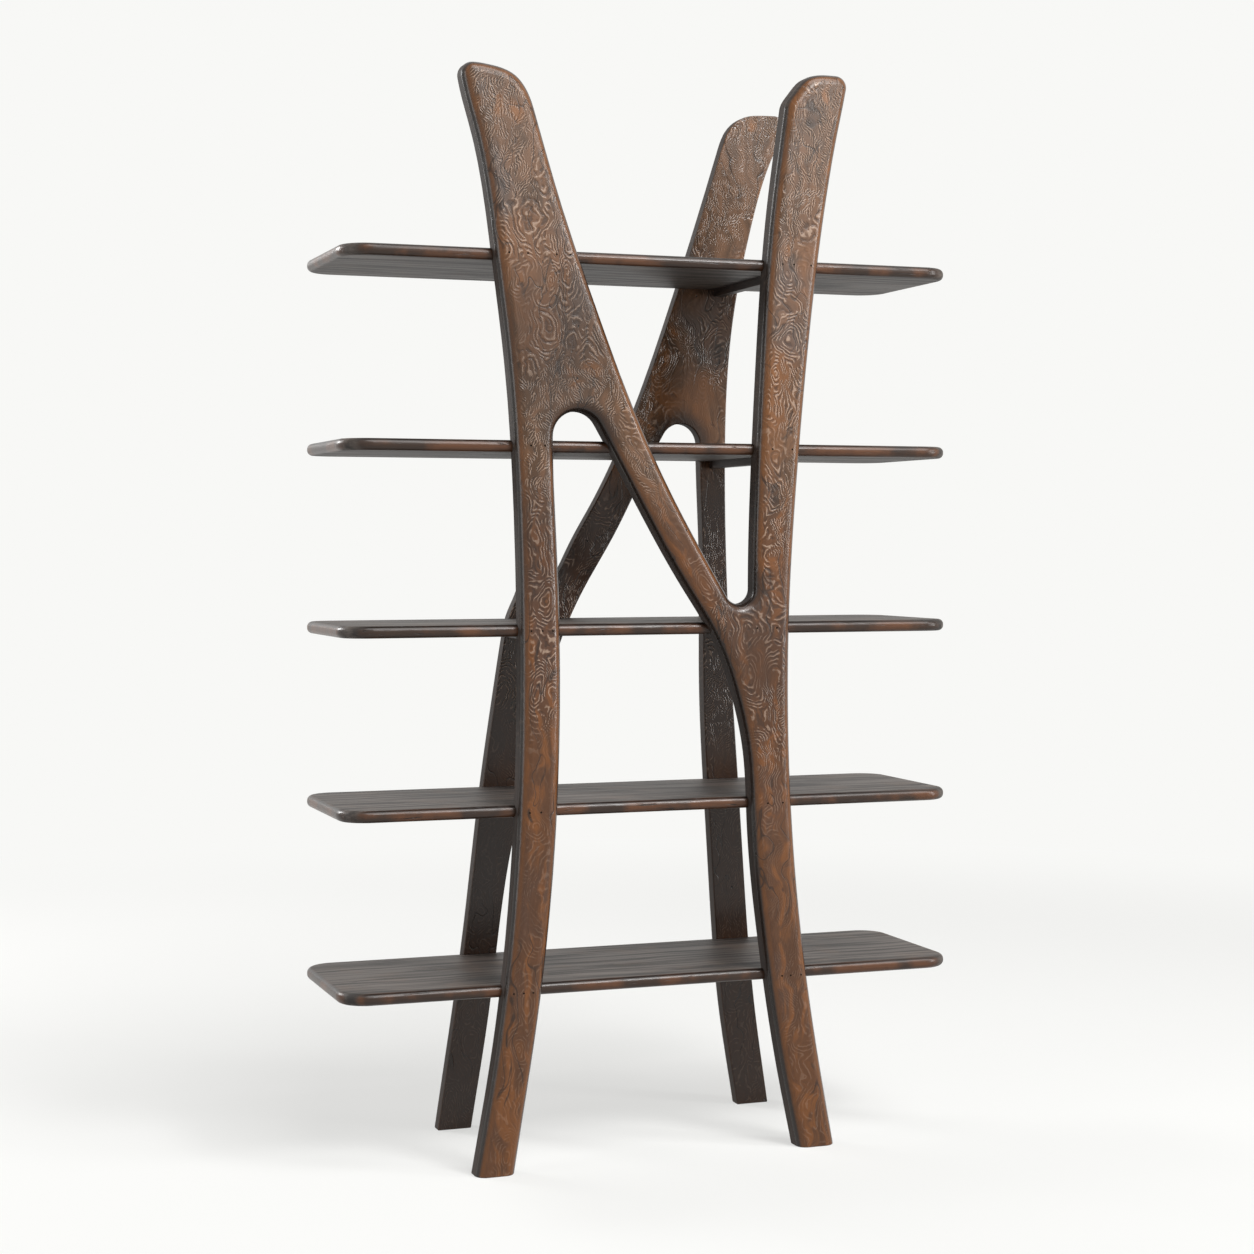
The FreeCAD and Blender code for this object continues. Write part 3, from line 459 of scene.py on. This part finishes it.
    # The grain darkens and lightens the stain by a quarter. The holes come last and are black
    shade = add_node(tree, "Math", {
        0: grain, 1: GRAIN_CONTRAST, 2: GRAIN_LEVEL,
    }, operation="MULTIPLY_ADD")[0]
    colour = add_node(tree, "VectorMath", {0: colour, "Scale": shade}, operation="SCALE")[0]
    wormholes = holes_in(tree, along, *WORMHOLES)
    slits = holes_in(tree, bent, *SLITS)
    pits = add_node(tree, "Math", {0: wormholes, 1: slits}, operation="MAXIMUM")[0]
    colour = layered(tree, colour, [("#0D0907", pits)])

    # The relief: ridges and grooves, with a little of the grain, sunk at the pits and the veins
    height = add_node(tree, "Math", {0: ridge, 1: groove}, operation="SUBTRACT")[0]
    for mark, lift in ((grain, GRAIN_LIFT), (pits, HOLE_LIFT), (veins, VEIN_LIFT)):
        height = add_node(tree, "Math", {0: mark, 1: lift, 2: height}, operation="MULTIPLY_ADD")[0]
    bump = add_node(tree, "Bump", {"Height": height, "Strength": 0.5, "Distance": RELIEF})[0]
    rough = add_node(tree, "MapRange", {
        0: clouds["Blue"], 1: WAX_SPAN[0], 2: WAX_SPAN[1], 3: WAX_ROUGHNESS[0], 4: WAX_ROUGHNESS[1],
    }, **EASED)["Result"]
    rubbed = add_node(tree, "MapRange", {
        0: depth, 1: OUTER_FACE - RUBBED_DEPTHS[0], 2: OUTER_FACE - RUBBED_DEPTHS[1],
        3: 1.0, 4: POLISH,
    }, **EASED)
    rough = add_node(tree, "Math", {0: rough, 1: rubbed["Result"]}, operation="MULTIPLY")[0]
    dull_side = add_node(tree, "MapRange", {
        0: depth, 1: OUTER_FACE - DULL_DEPTHS[0], 2: OUTER_FACE - DULL_DEPTHS[1],
        3: 0.0, 4: DULLNESS,
    }, **EASED)
    dull_back = add_node(tree, "MapRange", {
        0: depth, 1: INNER_FACE, 2: INNER_FACE + INNER_DULL_EDGE,
    }, **EASED)
    rough = add_node(tree, "Math", {
        0: dull_side["Result"], 1: dull_back["Result"], 2: rough,
    }, operation="MULTIPLY_ADD")[0]
    wood = add_node(tree, "BsdfPrincipled", {
        "Base Color": colour, "Roughness": rough, "IOR": WALNUT_IOR,
        "Specular IOR Level": 0.40, "Normal": bump,
    })[0]
    add_node(tree, "OutputMaterial", {"Surface": wood})
    return material


def dress(node_name, material):
    """A CAD node's object gets one material."""
    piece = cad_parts[node_name]
    piece.data.materials.clear()
    piece.data.materials.append(material)


# The diagonals lean, and are carved less deeply than the uprights. The painted shades, with x, z,
# radius and fade in metres and their strength, lie round the arches and notches and on the members
DIAGONAL_LEAN = 30.5
UPRIGHT_CARVING, DIAGONAL_CARVING = 1.0, 0.7
FRAMES = [
    ("front", DIAGONAL_LEAN, [
        (-0.166, 1.318, 0.050, 0.036, 0.8), (0.147, 1.047, 0.030, 0.034, 0.7),
        (-0.225, 1.490, 0.040, 0.170, 0.5), (0.190, 0.930, 0.030, 0.150, 0.35),
        (-0.235, 1.130, 0.040, 0.130, 0.4),
    ]),
    ("rear", -DIAGONAL_LEAN, [
        (0.165, 1.329, 0.045, 0.036, 0.8), (-0.106, 1.070, 0.014, 0.034, 0.7),
    ]),
]
for side, lean, painted_shades in FRAMES:
    upright = carved_walnut("carved_walnut_" + side, 0.0, UPRIGHT_CARVING, painted_shades)
    for member in ("bladed_leg", "prong", "webbed_leg"):
        dress("%s_%s" % (side, member), upright)
    leaning = carved_walnut("carved_walnut_%s_diagonal" % side, lean, DIAGONAL_CARVING, painted_shades)
    dress(side + "_diagonal", leaning)

# Shelves: walnut boards with a bullnosed rim, planed, stained and let into the frames. The flat
# faces are weathered grey with open lengthwise grain. The rims are rubbed to orange-brown, with
# dark worn spots and a near-black line of painted shade where the top face begins.
BOARD_SWAY_PITCH = 200.0 * MM
BOARD_SWAY = 15.0 * MM
BOARD_STREAK = 7.0 * MM
BOARD_GRAIN = 1.5 * MM
BOARD_STRETCH = 0.035
BOARD_PATCH = 72.0 * MM
BOARD_CONTRAST, BOARD_LEVEL = 0.7, 0.65
BOARD_RELIEF = 0.5 * MM
CRACK_LIFT = -1.8
RIM_REACH, RIM_BREADTH = 11.0 * MM, 3 * MM
BOARD_BAND_SPAN = (0.34, 0.66)
BROWN_SPAN, BROWN_AMOUNT = (0.5, 0.66), 0.30
RUBBED_SPAN = (0.40, 0.62)
CRACK_SPAN = (0.36, 0.30)
CRACKED_SPAN, CRACK_AMOUNT = (0.46, 0.56), 0.8
TOP_LINE_SHADE_SPAN, TOP_LINE_SHADE_AMOUNT = (0.35, 0.80), 0.85
BOARD_ROUGHNESS = (0.60, 0.48)
RIM_ROUGHNESS = 0.30
shelf_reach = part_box("top_shelf")[1]

shelf_material, tree = new_material("weathered_walnut_board")
place = add_node(tree, "TexCoord")["Object"]
sway = add_node(tree, "TexNoise", {
    "Vector": place, "Scale": 1 / BOARD_SWAY_PITCH, "Detail": 1.0,
})["Color"]
sway = add_node(tree, "VectorMath", {0: sway, 1: (0.5, 0.5, 0.5)}, operation="SUBTRACT")[0]
sway = add_node(tree, "VectorMath", {0: sway, "Scale": 2 * BOARD_SWAY}, operation="SCALE")[0]
bent = add_node(tree, "VectorMath", {0: place, 1: sway}, operation="ADD")[0]
stretched = add_node(tree, "VectorMath", {
    0: bent, 1: (BOARD_STRETCH, 1.0, 1.0),
}, operation="MULTIPLY")[0]
bands = add_node(tree, "TexNoise", {
    "Vector": stretched, "Scale": 0.5 / BOARD_STREAK, "Detail": 5.0,
})["Fac"]
grain = add_node(tree, "TexNoise", {
    "Vector": stretched, "Scale": 0.5 / BOARD_GRAIN, "Detail": 3.0,
})["Fac"]
patches = add_node(tree, "TexNoise", {
    "Vector": place, "Scale": 1 / BOARD_PATCH, "Detail": 4.0,
})["Color"]
patches = add_node(tree, "SeparateColor", {"Color": patches})
cracks = add_node(tree, "MapRange", {
    0: grain, 1: CRACK_SPAN[0], 2: CRACK_SPAN[1],
}, **EASED)["Result"]
cracked = add_node(tree, "MapRange", {
    0: patches["Blue"], 1: CRACKED_SPAN[0], 2: CRACKED_SPAN[1], 3: 0.0, 4: CRACK_AMOUNT,
}, **EASED)["Result"]
cracks = add_node(tree, "Math", {0: cracks, 1: cracked}, operation="MULTIPLY")[0]
places = add_node(tree, "SeparateXYZ", {"Vector": place})
rim = 0.0
for axis, reach in (("X", shelf_reach[0]), ("Y", shelf_reach[1])):
    out = add_node(tree, "Math", {0: places[axis]}, operation="ABSOLUTE")[0]
    out = add_node(tree, "MapRange", {
        0: out, 1: reach - RIM_REACH, 2: reach - RIM_BREADTH,
    }, **EASED)["Result"]
    rim = add_node(tree, "Math", {0: rim, 1: out}, operation="MAXIMUM")[0]
# Painted shade: the rim is coloured near black where it turns up into the top face, set by the way
# the surface faces
facing = add_node(tree, "NewGeometry")["Normal"]
facing = add_node(tree, "SeparateXYZ", {"Vector": facing})["Z"]
top_line_shade = add_node(tree, "MapRange", {
    0: facing, 1: TOP_LINE_SHADE_SPAN[0], 2: TOP_LINE_SHADE_SPAN[1], 3: 0.0, 4: TOP_LINE_SHADE_AMOUNT,
}, **EASED)["Result"]
top_line_shade = add_node(tree, "Math", {0: top_line_shade, 1: rim}, operation="MULTIPLY")[0]
pale_band = add_node(tree, "MapRange", {
    0: bands, 1: BOARD_BAND_SPAN[0], 2: BOARD_BAND_SPAN[1],
}, **EASED)["Result"]
brown_patch = add_node(tree, "MapRange", {
    0: patches["Red"], 1: BROWN_SPAN[0], 2: BROWN_SPAN[1], 3: 0.0, 4: BROWN_AMOUNT,
}, **EASED)["Result"]
rubbed = add_node(tree, "MapRange", {
    0: patches["Green"], 1: RUBBED_SPAN[0], 2: RUBBED_SPAN[1],
}, **EASED)["Result"]
rubbed = add_node(tree, "Math", {0: rubbed, 1: rim}, operation="MULTIPLY")[0]
colour = layered(tree, linear("#26211E"), [
    ("#504741", pale_band), ("#584639", brown_patch), ("#33241B", rim),
    ("#5B3A25", rubbed), ("#140E0B", top_line_shade), ("#17110E", cracks),
])
shade = add_node(tree, "Math", {
    0: grain, 1: BOARD_CONTRAST, 2: BOARD_LEVEL,
}, operation="MULTIPLY_ADD")[0]
colour = add_node(tree, "VectorMath", {0: colour, "Scale": shade}, operation="SCALE")[0]
height = add_node(tree, "Math", {0: grain, 1: bands}, operation="ADD")[0]
height = add_node(tree, "Math", {0: cracks, 1: CRACK_LIFT, 2: height}, operation="MULTIPLY_ADD")[0]
bump = add_node(tree, "Bump", {"Height": height, "Strength": 0.6, "Distance": BOARD_RELIEF})[0]
dull = add_node(tree, "MapRange", {
    0: bands, 1: WAX_SPAN[0], 2: WAX_SPAN[1], 3: BOARD_ROUGHNESS[0], 4: BOARD_ROUGHNESS[1],
}, **EASED)["Result"]
rough = add_node(tree, "Mix", {"Factor": rim, "A": dull, "B": RIM_ROUGHNESS})["Result"]
wood = add_node(tree, "BsdfPrincipled", {
    "Base Color": colour, "Roughness": rough, "IOR": WALNUT_IOR, "Specular IOR Level": 0.38,
    "Normal": bump,
})[0]
add_node(tree, "OutputMaterial", {"Surface": wood})
for shelf in ("lowest", "second", "third", "fourth", "top"):
    dress(shelf + "_shelf", shelf_material)

# Rails: slim walnut bars across the depth, under the ends of each shelf, planed and stained near
# black, so that only a faint grain shows. Dowels join them to the frames, and screws hold the shelf
# down on them.
RAIL_STRETCH = 0.08
RAIL_GRAIN_SPAN = (0.3, 0.7)
RAIL_RELIEF = 0.3 * MM
RAIL_ROUGHNESS = 0.5
rail_material, tree = new_material("black_stained_walnut")
place = add_node(tree, "TexCoord")["Object"]
stretched = add_node(tree, "VectorMath", {
    0: place, 1: (1.0, RAIL_STRETCH, 1.0),
}, operation="MULTIPLY")[0]
grain = add_node(tree, "TexNoise", {
    "Vector": stretched, "Scale": 0.5 / BOARD_GRAIN, "Detail": 3.0,
})["Fac"]
pale_grain = add_node(tree, "MapRange", {
    0: grain, 1: RAIL_GRAIN_SPAN[0], 2: RAIL_GRAIN_SPAN[1],
}, **EASED)["Result"]
colour = layered(tree, linear("#1E1612"), [("#3A2C24", pale_grain)])
bump = add_node(tree, "Bump", {"Height": grain, "Strength": 0.5, "Distance": RAIL_RELIEF})[0]
wood = add_node(tree, "BsdfPrincipled", {
    "Base Color": colour, "Roughness": RAIL_ROUGHNESS, "IOR": WALNUT_IOR,
    "Specular IOR Level": 0.35, "Normal": bump,
})[0]
add_node(tree, "OutputMaterial", {"Surface": wood})
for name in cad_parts:
    if name.endswith("_rail"):
        dress(name, rail_material)

# Loose tenons and dowels: beech, sawn and left bare, so pale, dull and finely flecked. They are
# glued inside the joints, and only the joints' own lines show on the finished shelf.
FLECK_SPAN = (0.35, 0.7)
SAWN_RELIEF = 0.2 * MM
SAWN_ROUGHNESS = 0.62
BEECH_IOR = 1.5
beech_material, tree = new_material("bare_beech")
place = add_node(tree, "TexCoord")["Object"]
flecks = add_node(tree, "TexNoise", {
    "Vector": place, "Scale": 0.5 / GRAIN_WIDTH, "Detail": 3.0,
})["Fac"]
pale_fleck = add_node(tree, "MapRange", {
    0: flecks, 1: FLECK_SPAN[0], 2: FLECK_SPAN[1],
}, **EASED)["Result"]
colour = layered(tree, linear("#B98F66"), [("#D2AD84", pale_fleck)])
bump = add_node(tree, "Bump", {"Height": flecks, "Strength": 0.4, "Distance": SAWN_RELIEF})[0]
wood = add_node(tree, "BsdfPrincipled", {
    "Base Color": colour, "Roughness": SAWN_ROUGHNESS, "IOR": BEECH_IOR,
    "Specular IOR Level": 0.3, "Normal": bump,
})[0]
add_node(tree, "OutputMaterial", {"Surface": wood})
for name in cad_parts:
    if name.endswith("_tenon") or name.endswith("_dowels"):
        dress(name, beech_material)

# Pins and screws: mild steel, drawn and blackened, with a thin scale that has rubbed unevenly. The
# pins go through the frames into the shelves' edges, sunk below the faces, and show as dark dots.
SCALE_SPECK = 0.55 * MM         # coarser than real scale, to show at all
SCALE_SPAN = (0.3, 0.7)
SCALE_ROUGHNESS = (0.38, 0.6)
SCALE_RELIEF = 0.05 * MM
steel_material, tree = new_material("blackened_steel")
place = add_node(tree, "TexCoord")["Object"]
scale = add_node(tree, "TexNoise", {
    "Vector": place, "Scale": 0.5 / SCALE_SPECK, "Detail": 3.0,
})["Fac"]
colour = layered(tree, linear("#16130F"), [("#35302B", scale)])
rough = add_node(tree, "MapRange", {
    0: scale, 1: SCALE_SPAN[0], 2: SCALE_SPAN[1], 3: SCALE_ROUGHNESS[0], 4: SCALE_ROUGHNESS[1],
}, **EASED)["Result"]
bump = add_node(tree, "Bump", {"Height": scale, "Strength": 0.3, "Distance": SCALE_RELIEF})[0]
steel = add_node(tree, "BsdfPrincipled", {
    "Base Color": colour, "Metallic": 1.0, "Roughness": rough, "Normal": bump,
})[0]
add_node(tree, "OutputMaterial", {"Surface": steel})
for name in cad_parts:
    if name.endswith("_pins") or name.endswith("_screws"):
        dress(name, steel_material)
